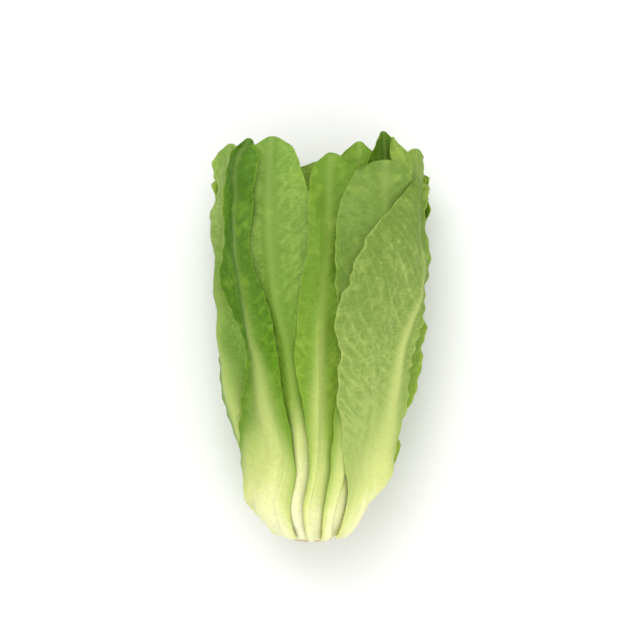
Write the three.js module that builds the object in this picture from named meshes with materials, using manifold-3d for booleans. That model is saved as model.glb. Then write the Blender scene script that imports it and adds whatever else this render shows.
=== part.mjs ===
// A romaine (cos) lettuce head lying on its back. Millimetres, +Z up, +Y from the cut butt to the leaf tips.
// Each leaf is a thin closed blade with a thick midrib, wrapped round the head and draped over the leaves inside it.
import * as THREE from "three";
import Module from "manifold-3d";
import { mergeVertices } from "three/addons/utils/BufferGeometryUtils.js";

const wasm = await Module();
wasm.setup();

// Places on the head are an azimuth round it in degrees (0 on top, 90 at +X, 180 on the table),
// a distance along its side from the butt, and a height above its outer envelope.
const envelope = {
  side: [0, 12, 23, 38, 64, 105, 156, 206, 256, 290],
  along: [0, 4, 12, 25, 50, 90, 140, 190, 240, 273],
  halfWidth: [15, 27, 36, 42.5, 46.5, 59, 66, 69, 70, 67],
  halfDepth: [15, 24, 30, 34, 38.5, 42, 43, 41, 37, 33],
  axisSide: [-4, -4.5, -5.5, -5.5, -0.8, 0, 0, 1, 1, 1],
  axisHeight: [43.5, 43.5, 43.5, 43.5, 43.2, 42.8, 42.8, 41.7, 39.6, 38],
  outwardTilt: [26, 23, 19, 15, 10, 6, 3, 1, 0, 0],
};
const centreX = 2.3; // moves the finished head so that its box is centred on the origin
const centreY = 133.1;

const stem = { along: [1.2, 2.2, 10, 24, 40, 54], radius: [12, 13, 15, 14, 10.5, 7], sides: 24 };
const core = { along: [54.4, 70, 110, 150], radius: [7, 8, 6, 1], sides: 12 };

const leafGap = 1.5;
const drapeWidth = 2; // how softly a leaf leaves the one under it
const marginThickness = 0.85;
const baseRounding = 13; // the length over which a rib rounds in to the butt
const leafRows = 20;
const leafColumns = [-1, -0.78, -0.5, -0.2, 0, 0.2, 0.5, 0.78, 1];
const rowCrowding = 0.07; // crowds rows towards the base and the tip

const cell = { azimuth: 3, side: 3 }; // the map of what is already wrapped
const mapColumns = 360 / cell.azimuth;
const mapRows = 98;
const reachCells = 2;
const blurCells = 2;

const colours = { stem: 0xf2eecb, heart: 0xd9e07a, inner: 0xb9cf6c, middle: 0x9cbf58, outer: 0x86ae4c };

const radians = (degrees) => (degrees * Math.PI) / 180;
const withinTurn = (degrees) => ((degrees % 360) + 360) % 360;
const clamp = (value, low, high) => Math.min(high, Math.max(low, value));

// A smooth curve through stations, with the slope at each taken from its neighbours.
function curve(stations, values, at) {
  const last = stations.length - 1;
  const x = clamp(at, stations[0], stations[last]);
  let i = 0;
  while (i < last - 1 && x > stations[i + 1]) i += 1;
  const slope = (k) => {
    const a = Math.max(k - 1, 0);
    const b = Math.min(k + 1, last);
    return (values[b] - values[a]) / (stations[b] - stations[a]);
  };
  const span = stations[i + 1] - stations[i];
  const t = (x - stations[i]) / span;
  const rise = values[i + 1] - values[i];
  const start = slope(i) * span;
  const end = slope(i + 1) * span;
  return values[i] + t * (start + t * (3 * rise - 2 * start - end + t * (start + end - 2 * rise)));
}

const evenly = (values) => values.map((_, i) => i / (values.length - 1));
const along = (values, u) => curve(evenly(values), values, u);
const smoothMax = (a, b) => (a + b + Math.hypot(a - b, drapeWidth)) / 2;

const envelopeAt = (side) => ({
  y: curve(envelope.side, envelope.along, side),
  width: curve(envelope.side, envelope.halfWidth, side),
  depth: curve(envelope.side, envelope.halfDepth, side),
  across: curve(envelope.side, envelope.axisSide, side),
  up: curve(envelope.side, envelope.axisHeight, side),
  tilt: radians(curve(envelope.side, envelope.outwardTilt, side)),
});

// The point at an azimuth, a distance along the side and a height above the envelope.
function place(azimuth, side, height) {
  const e = envelopeAt(side);
  const out = height * Math.cos(e.tilt);
  return [
    e.across + (e.width + out) * Math.sin(radians(azimuth)) - centreX,
    e.y - height * Math.sin(e.tilt) - centreY,
    e.up + (e.depth + out) * Math.cos(radians(azimuth)),
  ];
}

// The height above the envelope at which a point would touch the table.
function tableHeight(azimuth, side) {
  const down = -Math.cos(radians(azimuth));
  if (down < 0.2) return Infinity;
  const e = envelopeAt(side);
  return (e.up / down - e.depth) / Math.cos(e.tilt);
}

// Before any leaf, the map holds the stem and, past it, the middle line of the head.
function bareMap() {
  return Array.from({ length: mapRows }, (_, i) => {
    const e = envelopeAt(i * cell.side);
    const middle = curve([...stem.along, ...core.along], [...stem.radius, ...core.radius], e.y) + 0.3;
    return Float64Array.from({ length: mapColumns }, (_, j) => {
      const azimuth = radians(j * cell.azimuth);
      const reach = Math.hypot(e.width * Math.sin(azimuth), e.depth * Math.cos(azimuth));
      return (middle - reach) / Math.cos(e.tilt);
    });
  });
}

const wrap = (j) => (j + mapColumns) % mapColumns;

function filterMap(map, cells, combine) {
  const span = Array.from({ length: 2 * cells + 1 }, (_, k) => k - cells);
  const across = map.map((row) => row.map((_, j) => combine(span.map((k) => row[wrap(j + k)]))));
  return across.map((row, i) =>
    row.map((_, j) => combine(span.map((k) => across[clamp(i + k, 0, mapRows - 1)][j]))),
  );
}

// The surface that the next leaf lies on: never below the map, with its steps bridged.
const mean = (values) => values.reduce((sum, value) => sum + value, 0) / values.length;
const bridge = (map) => filterMap(filterMap(map, reachCells, (v) => Math.max(...v)), blurCells, mean);

function readMap(map, azimuth, side) {
  const i = clamp(side / cell.side, 0, mapRows - 1.001);
  const j = withinTurn(azimuth) / cell.azimuth;
  const [i0, j0] = [Math.floor(i), Math.floor(j)];
  const [a, b] = [map[i0], map[i0 + 1]];
  const row = (r) => r[wrap(j0)] + (j - j0) * (r[wrap(j0 + 1)] - r[wrap(j0)]);
  return row(a) + (i - i0) * (row(b) - row(a));
}

// A blade closes towards its tip along an ellipse, and stays a little blunt.
function tipClosing(leaf, u) {
  const past = clamp((u - leaf.tipFrom) / (1 - leaf.tipFrom), 0, 1);
  return leaf.tipBlunt + (1 - leaf.tipBlunt) * Math.sqrt(1 - past * past);
}

function spread(leaf, u, v) {
  const wanted = along(v < 0 ? leaf.left : leaf.right, u);
  const scallop = 1 + leaf.scallop * Math.sin(2 * Math.PI * (leaf.waves * u + (v < 0 ? leaf.phase : 0.37)));
  return wanted * tipClosing(leaf, u) * scallop;
}

const azimuthOf = (leaf, u, v) => along(leaf.rib, u) + v * spread(leaf, u, v);
const sideOf = (leaf, u) => leaf.from + (leaf.to - leaf.from) * u;

// The inner face's own height: its ring's depth, with lifted and ruffled margins and a flared right one.
function wantedHeight(leaf, u, v) {
  const wave = Math.sin(2 * Math.PI * (leaf.waves * u + leaf.phase * (v < 0 ? 1 : 2)) + 1.3 * v);
  const lift = along(v < 0 ? leaf.liftLeft : leaf.liftRight, u);
  const flare = v > 0 ? along(leaf.flareRight, u) * v ** 8 : 0;
  return -along(leaf.depth, u) + Math.abs(v) ** 3 * (lift + along(leaf.ruffle, u) * wave) + flare;
}

// The rib stands out of the blade's outer face, rounded at its base, thinning towards tip and margins.
function thickness(leaf, u, v, halfArc) {
  const across = (v * halfArc) / along(leaf.ribHalfWidth, u);
  const fromFull = 1 - clamp((u * (leaf.to - leaf.from)) / baseRounding, 0, 1);
  const rib = along(leaf.ribHeight, u) * Math.sqrt(1 - fromFull * fromFull);
  return marginThickness + (1 - v * v) * 0.3 + rib * Math.exp(-(across ** 2)) * Math.sqrt(1 - v * v);
}

function faces(leaf, u, v, azimuth, side) {
  const e = envelopeAt(side);
  const halfArc = (spread(leaf, u, v) * Math.PI * (e.width + e.depth)) / 360;
  const thick = thickness(leaf, u, v, halfArc);
  const under = readMap(leaf.under, azimuth, side) + along(leaf.gap, u);
  const inner = smoothMax(wantedHeight(leaf, u, v), under);
  return [inner, Math.min(inner + thick, tableHeight(azimuth, side))];
}

// Writes a leaf's outer face into the map, with a little beyond its margins.
function coverMap(map, leaf) {
  map.forEach((row, i) => {
    const side = i * cell.side;
    const u = (side - leaf.from) / (leaf.to - leaf.from);
    if (u < -0.01 || u > 1.01) return;
    const rib = along(leaf.rib, u);
    row.forEach((height, j) => {
      const azimuth = j * cell.azimuth;
      const turn = withinTurn(azimuth - rib + 180) - 180;
      const v = turn / spread(leaf, u, turn);
      if (Math.abs(v) > 1.06) return;
      row[j] = Math.max(height, faces(leaf, u, clamp(v, -1, 1), azimuth, side)[1]);
    });
  });
}

// A closed shell from two facing grids, with the same diagonals on both.
function shellGeometry(outer, inner, rows, columns) {
  const positions = [...outer, ...inner].flat();
  const back = outer.length;
  const at = (i, j) => i * columns + j;
  const triangles = [];
  const quad = (a, b, c, d) => triangles.push(a, b, c, a, c, d);
  for (let i = 0; i < rows - 1; i += 1) {
    for (let j = 0; j < columns - 1; j += 1) {
      const [a, b, c, d] = [at(i, j), at(i, j + 1), at(i + 1, j + 1), at(i + 1, j)];
      quad(a, b, c, d);
      triangles.push(back + a, back + c, back + b, back + a, back + d, back + c);
    }
    const [left, right] = [at(i, 0), at(i, columns - 1)];
    quad(left, left + columns, back + left + columns, back + left);
    quad(right, back + right, back + right + columns, right + columns);
  }
  for (let j = 0; j < columns - 1; j += 1) {
    const [base, tip] = [at(0, j), at(rows - 1, j)];
    quad(base, back + base, back + base + 1, base + 1);
    quad(tip, tip + 1, back + tip + 1, back + tip);
  }
  const geometry = new THREE.BufferGeometry();
  geometry.setAttribute("position", new THREE.Float32BufferAttribute(positions, 3));
  geometry.setIndex(triangles);
  return geometry;
}

function leafGeometry(leaf, rows, columns) {
  const outer = [];
  const inner = [];
  for (let i = 0; i <= rows; i += 1) {
    const k = i / rows;
    const u = k - rowCrowding * Math.sin(2 * Math.PI * k);
    const side = sideOf(leaf, u);
    for (const v of columns) {
      const azimuth = azimuthOf(leaf, u, v);
      const [low, high] = faces(leaf, u, v, azimuth, side);
      inner.push(place(azimuth, side, low));
      outer.push(place(azimuth, side, high));
    }
  }
  return shellGeometry(outer, inner, rows + 1, columns.length);
}

// What every leaf has unless it says otherwise. Lists run evenly from the base to the tip.
const plainLeaf = {
  from: 8,
  to: 262,
  left: [28, 34, 44, 48, 40],
  right: [28, 34, 44, 48, 40],
  depth: [13, 8.5, 6.5, 5, 4, 3.5, 3, 2.5, 2],
  ribHeight: [6.5, 6.2, 4.6, 3.4, 2.6, 2, 1.3, 0.8, 0.3],
  ribHalfWidth: [15, 12, 6, 4, 3],
  liftLeft: [0, 0, 1, 2, 2],
  liftRight: [0, 0, 1, 2, 2],
  ruffle: [0, 0.3, 1, 2, 2],
  flareRight: [0, 0],
  waves: 5,
  phase: 0.1,
  scallop: 0.04,
  gap: [leafGap, leafGap],
  tipFrom: 0.7,
  tipBlunt: 0.16,
  rows: leafRows,
};

// From the inside out: each leaf lies on those before it.
const innerLeaves = [
  { name: "leaf_inner_back_right", from: 48, to: 262, rib: [150, 148, 145, 142, 138], phase: 0.5 },
  { name: "leaf_inner_back_left", from: 46, to: 256, rib: [-138, -138, -136, -134, -130], phase: 0.2 },
  {
    name: "leaf_inner_right",
    from: 44,
    to: 272,
    rib: [92, 88, 82, 76, 72],
    left: [24, 30, 34, 32, 26],
    right: [24, 30, 36, 34, 28],
    depth: [26, 20, 14, 9, 4],
    liftRight: [0, 0, 1, 2, 3],
    phase: 0.8,
    waves: 6,
    tipFrom: 0.84,
    tipBlunt: 0.7,
  },
  { name: "leaf_inner_front_left", from: 42, to: 262, rib: [-68, -64, -56, -50, -48], phase: 0.4 },
  {
    name: "leaf_inner_front",
    from: 42,
    to: 276,
    rib: [4, 6, 12, 20, 26],
    left: [24, 28, 34, 30, 20],
    right: [24, 28, 32, 26, 16],
    phase: 0.9,
    tipBlunt: 0.35,
  },
  {
    name: "leaf_inner_front_right",
    from: 40,
    to: 283,
    rib: [34, 34, 37, 40, 42],
    left: [24, 30, 32, 23, 15],
    right: [24, 30, 30, 19, 13],
    depth: [24, 18, 13, 9, 7],
    phase: 0.65,
    waves: 6,
    tipBlunt: 0.35,
  },
].map((leaf) => ({
  ...plainLeaf,
  left: [24, 30, 38, 44, 34],
  right: [24, 30, 38, 44, 34],
  depth: [26, 21, 17, 14, 11],
  ribHeight: [3.5, 3, 2, 1, 0.3],
  ribHalfWidth: [11, 8, 5, 3, 2],
  ruffle: [0, 0.3, 0.7, 1.2, 1.6],
  gap: [1.8, 1.8],
  colour: colours.inner,
  ...leaf,
}));

const middleLeaves = [
  {
    name: "leaf_back_inner",
    from: 36,
    to: 266,
    rib: [-172, -172, -174, -176, -178],
    depth: [15, 12, 10, 8, 6],
    ribHeight: [5, 3.5, 2, 1, 0.3],
    phase: 0.3,
  },
  {
    name: "leaf_front_left",
    from: 6,
    to: 279,
    rib: [-16, -16, -15, -16, -19, -26, -29, -29, -28],
    left: [18, 15, 12, 12, 14, 14, 14, 12, 20],
    right: [16, 16, 16, 16, 18, 24, 30, 26, 22],
    depth: [12, 9.5, 8.5, 7, 6, 5.5, 5, 4.5, 4],
    ribHeight: [4.5, 4.5, 4, 3.2, 2.4, 1.8, 1.2, 0.7, 0.3],
    ribHalfWidth: [9, 7, 4, 4, 3],
    colour: colours.outer,
    phase: 0.75,
    tipBlunt: 0.42,
  },
  {
    name: "leaf_centre",
    from: 5,
    to: 268,
    rib: [2, 1, 0, 0, 1, 2, 4, 5, 6],
    left: [8, 7, 7, 10, 15, 13, 11, 12, 18],
    right: [24, 23, 22, 22, 26, 29, 32, 31, 30],
    depth: [10.5, 8, 7.5, 7.5, 7, 6.5, 6, 6, 6],
    ribHeight: [4.5, 4.5, 4, 3.2, 2.4, 1.8, 1.2, 0.7, 0.3],
    ribHalfWidth: [9, 8, 6, 4, 3],
    phase: 0.9,
    tipBlunt: 0.3,
  },
  {
    name: "leaf_right_back",
    from: 6,
    to: 260,
    rib: [121, 120, 118, 114, 110],
    left: [22, 26, 46, 52, 50, 45, 36, 30, 28],
    right: [20, 28, 32, 32, 28],
    depth: [13, 8, 6, 5, 4, 3, 2, 2, 2],
    liftLeft: [0, 0, 0, 0, 1],
    liftRight: [0, 0, 0, 0, 0],
    ruffle: [0, 1, 1, 2, 2],
    waves: 7,
    phase: 0.15,
  },
  {
    name: "leaf_left_back",
    from: 6,
    to: 256,
    rib: [-118, -118, -118, -117, -116, -114, -112, -109, -106],
    left: [31, 34, 40, 40, 36],
    right: [30, 40, 58, 60, 50, 38, 34, 32, 30],
    depth: [13, 8, 2, 0, 3, 4.5, 4, 4, 4],
    liftRight: [0, 0, 0, 0, 1],
        ruffle: [0, 0.5, 1, 2, 2],
    phase: 0.55,
    waves: 7,
    scallop: 0.06,
    rows: 24,
  },
  {
    name: "leaf_left_side",
    from: 40,
    to: 275,
    rib: [-64, -60, -58, -67, -75, -74, -68, -64, -62],
    left: [18, 20, 17, 19, 28, 28, 26, 20, 24],
    right: [16, 16, 18, 28, 38, 32, 24, 20, 28],
    depth: [21, 14, 9, 7, 6, 5.5, 5, 4.5, 4],
    ribHeight: [2.5, 2.8, 3, 3, 2.4, 1.8, 1.2, 0.7, 0.3],
    phase: 0.7,
    waves: 6,
    tipBlunt: 0.4,
  },
  {
    name: "leaf_centre_right",
    from: 6,
    to: 263,
    rib: [29, 26, 22, 22, 26, 30, 33, 35, 36],
    left: [13, 12, 11, 11, 13, 20, 24, 24, 20],
    right: [22, 25, 36, 58, 50, 57, 56, 54, 35, 27, 22, 20, 18],
    depth: [11, 8.5, 7.5, 7, 6, 5.5, 5, 4.5, 4],
    ribHeight: [4.5, 4.5, 4, 3.2, 2.4, 1.8, 1.2, 0.7, 0.3],
    ribHalfWidth: [12, 10, 6, 4, 3],
    liftRight: [5, 4, 1, 1, 1, 1.5, 2, 2, 2],
    flareRight: [0, 0, 1, 10, 5, 8, 7.5, 7, 2, 0, 0, 0, 0],
    phase: 0.35,
    waves: 11,
    tipFrom: 0.86,
    tipBlunt: 0.6,
    rows: 28,
  },
].map((leaf) => ({
  ...plainLeaf,
  left: [26, 32, 40, 44, 38],
  right: [26, 32, 40, 44, 38],
  depth: [15, 11, 8, 6, 5],
  ribHeight: [6.5, 6, 4.5, 3.2, 2.4, 1.8, 1.2, 0.7, 0.3],
  ribHalfWidth: [14, 11, 6, 4, 3],
  colour: colours.middle,
  ...leaf,
}));

const outerLeaves = [
  {
    name: "leaf_back",
    from: 9,
    to: 262,
    rib: [175, 175, 177, 180, 182],
    left: [28, 34, 44, 48, 40],
    right: [30, 34, 44, 48, 40],
    depth: [17, 6, 3, 3, 2],
    ribHeight: [8, 5, 4, 2.5, 0.3],
    ribHalfWidth: [19, 13, 11, 7, 3],
    gap: [1.5, 2.4, 2.1],
    phase: 0.6,
    waves: 4,
  },
  {
    name: "leaf_left_front",
    from: 9,
    to: 278,
    rib: [-52, -45, -38, -37, -38, -43, -48, -49, -43],
    left: [42, 40, 36, 23, 16, 12, 9, 16, 22, 15.6, 10.2, 15.4, 18],
    right: [29, 29, 25, 19, 16, 14, 13.5, 13, 10, 9.3, 13.7, 17, 20],
    ribHeight: [8, 7.5, 5, 3.4, 2.6, 2, 1.3, 0.8, 0.3],
    ribHalfWidth: [25, 17, 6, 4, 3],
    phase: 0.25,
    tipBlunt: 0.28,
  },
  {
    name: "leaf_right_front",
    from: 9,
    to: 253,
    rib: [68, 65, 57, 54, 54, 60, 72, 69, 58],
    left: [28, 30, 37, 40, 43, 50, 56, 40, 13],
    right: [27, 23, 13, 12, 11, 10, 10, 9, 19],
    ribHalfWidth: [22, 11, 4.5, 3.4, 2.6],
    phase: 0.05,
    tipFrom: 0.84,
    tipBlunt: 0.6,
    rows: 24,
  },
].map((leaf) => ({ ...plainLeaf, colour: colours.outer, ...leaf }));

const heartLeaves = Array.from({ length: 6 }, (_, i) => ({
  ...plainLeaf,
  name: `heart_leaf_${i}`,
  from: 84 - 4 * i,
  to: 196 + 8 * i,
  rib: [0, 4, 8, 10, 12].map((turn) => 70 + 137.5 * i + turn),
  left: [40, 46, 54, 56, 44],
  right: [40, 46, 54, 56, 44],
  depth: [36, 30, 28, 25, 21].map((depth) => depth - i),
  ribHeight: [2.2, 2, 1.4, 0.8, 0.2],
  ribHalfWidth: [7, 5, 4, 3, 2],
  gap: [-4, 0.6, 1.4, 1.4, 1.4],
  ruffle: [0, 0.4, 1, 1.4, 1.4],
  phase: 0.17 * i,
}));

function solidOf(geometry) {
  const bare = geometry.clone();
  bare.deleteAttribute("normal");
  bare.deleteAttribute("uv");
  const merged = mergeVertices(bare, 1e-4);
  return new wasm.Manifold(
    new wasm.Mesh({
      numProp: 3,
      vertProperties: merged.attributes.position.array,
      triVerts: new Uint32Array(merged.index.array),
    }),
  );
}

function geometryOf(solid) {
  const mesh = solid.getMesh();
  const geometry = new THREE.BufferGeometry();
  geometry.setAttribute("position", new THREE.BufferAttribute(Float32Array.from(mesh.vertProperties), 3));
  geometry.setIndex(new THREE.BufferAttribute(Uint32Array.from(mesh.triVerts), 1));
  return geometry;
}

// A solid turned about the head's own axis, closed flat at both ends.
function turned({ along: distances, radius, sides }) {
  const rim = distances.map((distance, i) => new THREE.Vector2(radius[i], distance));
  const ends = [new THREE.Vector2(0, distances[0]), new THREE.Vector2(0, distances.at(-1))];
  const geometry = new THREE.LatheGeometry([ends[0], ...rim, ends[1]], sides);
  geometry.translate(envelope.axisSide[0] - centreX, -centreY, envelope.axisHeight[0]);
  return geometry;
}

function heartGeometry(map) {
  const rows = 11;
  const columns = [-1, -0.65, -0.3, 0, 0.3, 0.65, 1];
  return geometryOf(
    heartLeaves.reduce((whole, leaf) => {
      leaf.under = bridge(map);
      coverMap(map, leaf);
      return whole.add(solidOf(leafGeometry(leaf, rows, columns)));
    }, solidOf(turned(core))),
  );
}

function piece(name, geometry, colour, roughness) {
  const material = new THREE.MeshStandardMaterial({ color: colour, roughness, metalness: 0 });
  const mesh = new THREE.Mesh(geometry, material);
  mesh.name = name;
  return mesh;
}

const head = new THREE.Group();
const map = bareMap();
head.add(piece("stem", turned(stem), colours.stem, 0.7));
head.add(piece("heart", heartGeometry(map), colours.heart, 0.5));
for (const leaf of [...innerLeaves, ...middleLeaves, ...outerLeaves]) {
  leaf.under = bridge(map);
  coverMap(map, leaf);
  head.add(piece(leaf.name, leafGeometry(leaf, leaf.rows, leafColumns), leaf.colour, 0.5));
}

export default head;
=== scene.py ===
import math

import bpy
import numpy as np
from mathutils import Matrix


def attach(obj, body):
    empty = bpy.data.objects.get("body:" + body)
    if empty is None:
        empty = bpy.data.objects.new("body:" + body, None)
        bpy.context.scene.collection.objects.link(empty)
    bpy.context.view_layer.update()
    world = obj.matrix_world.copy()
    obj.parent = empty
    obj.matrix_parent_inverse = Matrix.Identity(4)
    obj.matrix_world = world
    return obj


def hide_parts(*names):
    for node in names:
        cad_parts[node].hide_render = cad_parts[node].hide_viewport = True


# A romaine lettuce head lying on its back, +Z up and +Y from the cut butt to the leaf tips.
# Shapes are worked out in millimetres: each leaf is a blade wrapped round the head over those inside it.

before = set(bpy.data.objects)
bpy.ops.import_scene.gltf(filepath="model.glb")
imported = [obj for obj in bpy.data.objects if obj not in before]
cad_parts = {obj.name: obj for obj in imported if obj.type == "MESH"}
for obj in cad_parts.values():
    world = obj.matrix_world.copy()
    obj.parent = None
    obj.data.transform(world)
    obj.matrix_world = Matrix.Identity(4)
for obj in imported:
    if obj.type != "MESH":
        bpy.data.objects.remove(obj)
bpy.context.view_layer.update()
print("frame loaded:", len(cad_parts), "nodes")

metre = 0.001  # one millimetre in metres
inMetre = 1000  # millimetres in a metre

head = {
    "side": [0, 12, 23, 38, 64, 105, 156, 206, 256, 290],  # stations along the side, from the butt
    "along": [0, 4, 12, 25, 50, 90, 140, 190, 240, 273],
    "halfWidth": [15, 27, 36, 42.5, 46.5, 59, 66, 69, 70, 67],
    "halfDepth": [15, 24, 30, 34, 38.5, 42, 43, 41, 37, 33],
    "axisSide": [-4, -4.5, -5.5, -5.5, -0.8, 0, 0, 1, 1, 1],
    "axisHeight": [43.5, 43.5, 43.5, 43.5, 43.2, 42.8, 42.8, 41.7, 39.6, 38],
    "outwardTilt": [26, 23, 19, 15, 10, 6, 3, 1, 0, 0],
    "centre": (2.3, 133.1),
    "middleAlong": [1.2, 2.2, 10, 24, 40, 54, 70, 110, 150],  # the stem, then the heart's core
    "middleRadius": [12, 13, 15, 14, 10.5, 7, 8, 6, 1],
    "cell": (2.0, 2.0),  # degrees round the head and millimetres along its side
    "cells": (150, 180),
    "middleGap": 0.2,
    "drapeWidth": 1.6,  # how softly a blade leaves what it lies on
    "downFrom": 0.2,  # the downward cosine from which the table is felt
    "outOfReach": 1000.0,
}


# Hermite curve: between two stations the value eases with the slope taken from the neighbours.
def curve(stations, values, at):
    x = np.asarray(stations, float)
    y = np.asarray(values, float)
    at = np.clip(at, x[0], x[-1])
    i = np.searchsorted(x[1:-1], at, side="left")
    below = np.maximum(np.arange(len(x)) - 1, 0)
    above = np.minimum(np.arange(len(x)) + 1, len(x) - 1)
    slope = (y[above] - y[below]) / (x[above] - x[below])
    span = x[i + 1] - x[i]
    t = (at - x[i]) / span
    rise = y[i + 1] - y[i]
    start = slope[i] * span
    end = slope[i + 1] * span
    return y[i] + t * (start + t * (3 * rise - 2 * start - end + t * (start + end - 2 * rise)))


# A list spread evenly over 0 to 1.
def along(values, u):
    return curve(np.linspace(0, 1, len(values)), values, u)


# A soft maximum: half of a + b + the length of (a - b, width).
def softMax(a, b, width):
    return (a + b + np.hypot(a - b, width)) / 2


# Eases from 0 at low to 1 at high.
def ease(value, low, high):
    t = np.clip((value - low) / (high - low), 0, 1)
    return t * t * (3 - 2 * t)


# Smooth noise from -1 to 1: a random height at each whole number both ways, eased between them.
def roam(x, y, seed):
    column, row = np.floor(x), np.floor(y)
    p, q = ease(x - column, 0, 1), ease(y - row, 0, 1)

    def corner(i, j):
        turned = np.sin((column + i) * 127.1 + (row + j) * 311.7 + seed * 74.7) * 4375.85
        return turned - np.floor(turned)

    near = corner(0, 0) * (1 - p) + corner(1, 0) * p
    far = corner(0, 1) * (1 - p) + corner(1, 1) * p
    return 2 * (near * (1 - q) + far * q) - 1


# The envelope at a place along the side: each of the head's lists read on its curve.
def envelopeAt(side):
    keys = ("along", "halfWidth", "halfDepth", "axisSide", "axisHeight", "outwardTilt")
    found = {key: curve(head["side"], head[key], side) for key in keys}
    found["tilt"] = np.radians(found["outwardTilt"])
    return found


# A point on an ellipse round the axis: sine of the azimuth across, cosine up, pushed outwards by height.
def place(azimuth, side, height):
    e = envelopeAt(side)
    turn = np.radians(azimuth)
    out = height * np.cos(e["tilt"])
    x = e["axisSide"] + (e["halfWidth"] + out) * np.sin(turn) - head["centre"][0]
    y = e["along"] - height * np.sin(e["tilt"]) - head["centre"][1]
    z = e["axisHeight"] + (e["halfDepth"] + out) * np.cos(turn)
    return np.stack(np.broadcast_arrays(x, y, z), axis=-1)


# The height at which a point below the axis would touch the table: axis height over the downward cosine.
def tableHeight(azimuth, side):
    e = envelopeAt(side)
    down = -np.cos(np.radians(azimuth))
    reach = e["axisHeight"] / np.maximum(down, head["downFrom"]) - e["halfDepth"]
    return np.where(down < head["downFrom"], head["outOfReach"], reach / np.cos(e["tilt"]))


# The map of what is wrapped already: at first the stem and core, as a height from the envelope.
def bareMap():
    side = np.arange(head["cells"][0])[:, None] * head["cell"][1]
    turn = np.radians(np.arange(head["cells"][1])[None, :] * head["cell"][0])
    e = envelopeAt(side)
    middle = curve(head["middleAlong"], head["middleRadius"], e["along"]) + head["middleGap"]
    reach = np.hypot(e["halfWidth"] * np.sin(turn), e["halfDepth"] * np.cos(turn))
    return (middle - reach) / np.cos(e["tilt"])


# Every cell takes the combination of itself and its neighbours within so many cells.
def combined(cells, steps, combine):
    shifts = range(-steps, steps + 1)
    across = combine([np.roll(cells, k, axis=1) for k in shifts], axis=0)
    padded = np.pad(across, ((steps, steps), (0, 0)), mode="edge")
    return combine([padded[steps + k : steps + k + len(cells)] for k in shifts], axis=0)


# The surface that the next leaf lies on: the highest neighbour, then the mean of those.
def bridged(cells, steps):
    return combined(combined(cells, steps, np.max), steps, np.mean)


# Reads the map between its cells: a weighted mean of the four around the point.
def readMap(cells, azimuth, side):
    i = np.clip(side / head["cell"][1], 0, len(cells) - 1.001)
    j = np.mod(azimuth, 360) / head["cell"][0]
    top, left = np.floor(i).astype(int), np.floor(j).astype(int)
    p, q = i - top, j - left
    right = (left + 1) % cells.shape[1]
    left = left % cells.shape[1]
    upper = cells[top, left] * (1 - q) + cells[top, right] * q
    lower = cells[top + 1, left] * (1 - q) + cells[top + 1, right] * q
    return upper * (1 - p) + lower * p


# Raises each cell that the blade covers to the blade's outer face.
def coverMap(cells, azimuth, side, height):
    i = np.clip(np.rint(side / head["cell"][1]).astype(int), 0, cells.shape[0] - 1)
    j = np.rint(azimuth / head["cell"][0]).astype(int) % cells.shape[1]
    np.maximum.at(cells, (i, j), height)


# What all margins share. A rate is how often a noise turns along the leaf, a step how far apart the two
# sides read it.
marginForm = {
    "rightPhase": 0.37,
    "lobeMean": 0.6,
    "wanderRate": 13,
    "wanderStep": 9,
    "crinkleRate": 2.2,
    "crinkleStep": 5,
    "smoothTo": 0.08,
    "fullFrom": 0.2,
}


# Half of the blade's width in degrees: the drawn width, closed along an ellipse to a blunt tip,
# with long waves, rounded lobes, an uneven wander and a fine crinkle along the margin.
def spread(leaf, u, v):
    past = np.clip((u - leaf["tipFrom"]) / (1 - leaf["tipFrom"]), 0, 1)
    closing = leaf["tipBlunt"] + (1 - leaf["tipBlunt"]) * np.sqrt(1 - past * past)
    wanted = np.where(v < 0, along(leaf["left"], u), along(leaf["right"], u))
    form = marginForm
    turn = np.where(v < 0, leaf["phase"], form["rightPhase"])
    waves = leaf["scallop"] * np.sin(2 * np.pi * (leaf["waves"] * u + turn))
    lobes = leaf["lobeDepth"] * (np.abs(np.sin(np.pi * (leaf["lobes"] * u + turn))) - form["lobeMean"])
    uneven = leaf["wander"] * roam(form["wanderRate"] * u, form["wanderStep"] * turn, leaf["phase"])
    fine = form["crinkleRate"] * leaf["frills"]
    crinkle = leaf["crinkle"] * roam(fine * u, form["crinkleStep"] * turn, leaf["phase"] + 3)
    shown = ease(u, form["smoothTo"], form["fullFrom"])
    return wanted * closing * (1 + 0.5 * waves + (uneven + lobes + crinkle) * shown)


# What all veins share: widths are in millimetres from the rib.
veinForm = {
    "climbAt": [0, 0.3, 0.6, 1],
    "bend": 0.006,
    "ownStep": 40,
    "wobble": 0.3,
    "wobbleRate": 6,
    "wobbleWidth": 22,
    "fineWobble": 0.13,
    "fineRate": 19,
    "fineWidth": 9,
    "rightStep": 0.46,
}


# Veins leave the rib at an angle that opens towards the tip: a vein is where the phase is a whole number.
def veinPhase(leaf, u, distance, side):
    form = veinForm
    climb = curve(form["climbAt"], leaf["veinClimb"], u)
    rise = u * (leaf["end"] - leaf["start"]) - climb * distance * (1 + form["bend"] * distance)
    own = form["ownStep"] * leaf["phase"]
    slow = roam(form["wobbleRate"] * u + own, distance / form["wobbleWidth"] * np.sign(side), 1)
    fine = roam(form["fineRate"] * u, distance / form["fineWidth"] * np.sign(side), own)
    wobble = form["wobble"] * slow + form["fineWobble"] * fine
    return rise / leaf["veinSpacing"] + wobble + np.where(side < 0, 0.0, form["rightStep"])


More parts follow.
